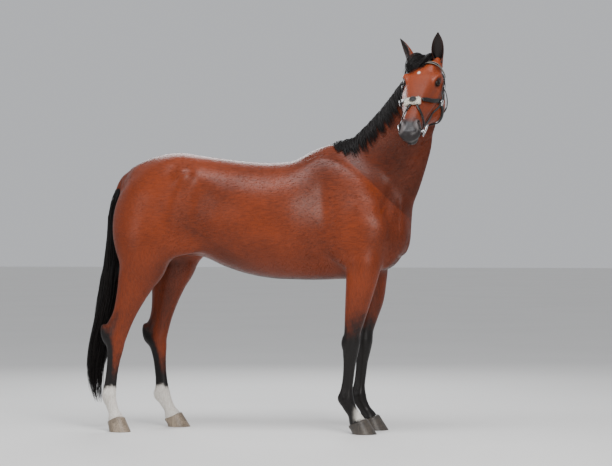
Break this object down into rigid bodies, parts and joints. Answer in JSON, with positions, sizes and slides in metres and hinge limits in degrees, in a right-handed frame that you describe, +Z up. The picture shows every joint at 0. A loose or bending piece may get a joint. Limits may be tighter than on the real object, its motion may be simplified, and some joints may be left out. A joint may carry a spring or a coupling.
{
  "type": "horse",
  "caption": "Life-size bay horse standing still with its head turned to its right, black mane, tail and points, white hind pasterns, wearing a bridle without reins.",
  "frame": {"origin": "on the floor, under the middle of the model's box", "axes": "+X along the trunk towards the chest, +Y to the horse's left, +Z up"},
  "size_m": [2.1682, 1.0316, 2.2969],
  "materials": {
    "coat": "short glossy red-bay hair",
    "coat_dark": "short brown hair with black edges",
    "points_black": "short black hair of the lower legs",
    "coat_white": "short white hair of the hind pasterns",
    "hair_black": "long black hair of mane, forelock and tail",
    "hoof_dark": "dark horn",
    "hoof_pale": "pale striped horn",
    "eye": "wet, nearly black",
    "leather": "polished black",
    "fleece": "white fleece",
    "steel": "polished steel"
  },
  "bodies": {
    "root": {"trunk": "coat", "neck": "coat", "head": "coat", "eye_right": "eye", "ear_right": "coat_dark", "foreleg_right_upper": "coat", "foreleg_right_lower": "points_black", "foreleg_right_hoof": "hoof_dark", "hindleg_right_upper": "coat", "hindleg_right_lower": "points_black", "hindleg_right_pastern": "coat_white", "hindleg_right_hoof": "hoof_pale", "cheekpiece_right": "leather", "noseband_headstrap_right": "leather", "cheek_buckle_right": "steel", "noseband_ring_right": "steel", "bit_ring_right": "steel", "eye_left": "eye", "ear_left": "coat_dark", "foreleg_left_upper": "coat", "foreleg_left_lower": "points_black", "foreleg_left_hoof": "hoof_dark", "hindleg_left_upper": "coat", "hindleg_left_lower": "points_black", "hindleg_left_pastern": "coat_white", "hindleg_left_hoof": "hoof_pale", "cheekpiece_left": "leather", "noseband_headstrap_left": "leather", "cheek_buckle_left": "steel", "noseband_ring_left": "steel", "bit_ring_left": "steel", "tail": "hair_black", "mane": "hair_black", "forelock": "hair_black", "browband": "leather", "crownpiece": "leather", "throatlatch": "leather", "noseband_upper": "leather", "noseband_lower": "leather", "nose_disc": "leather", "nose_pad": "fleece"}
  },
  "joints": []
}
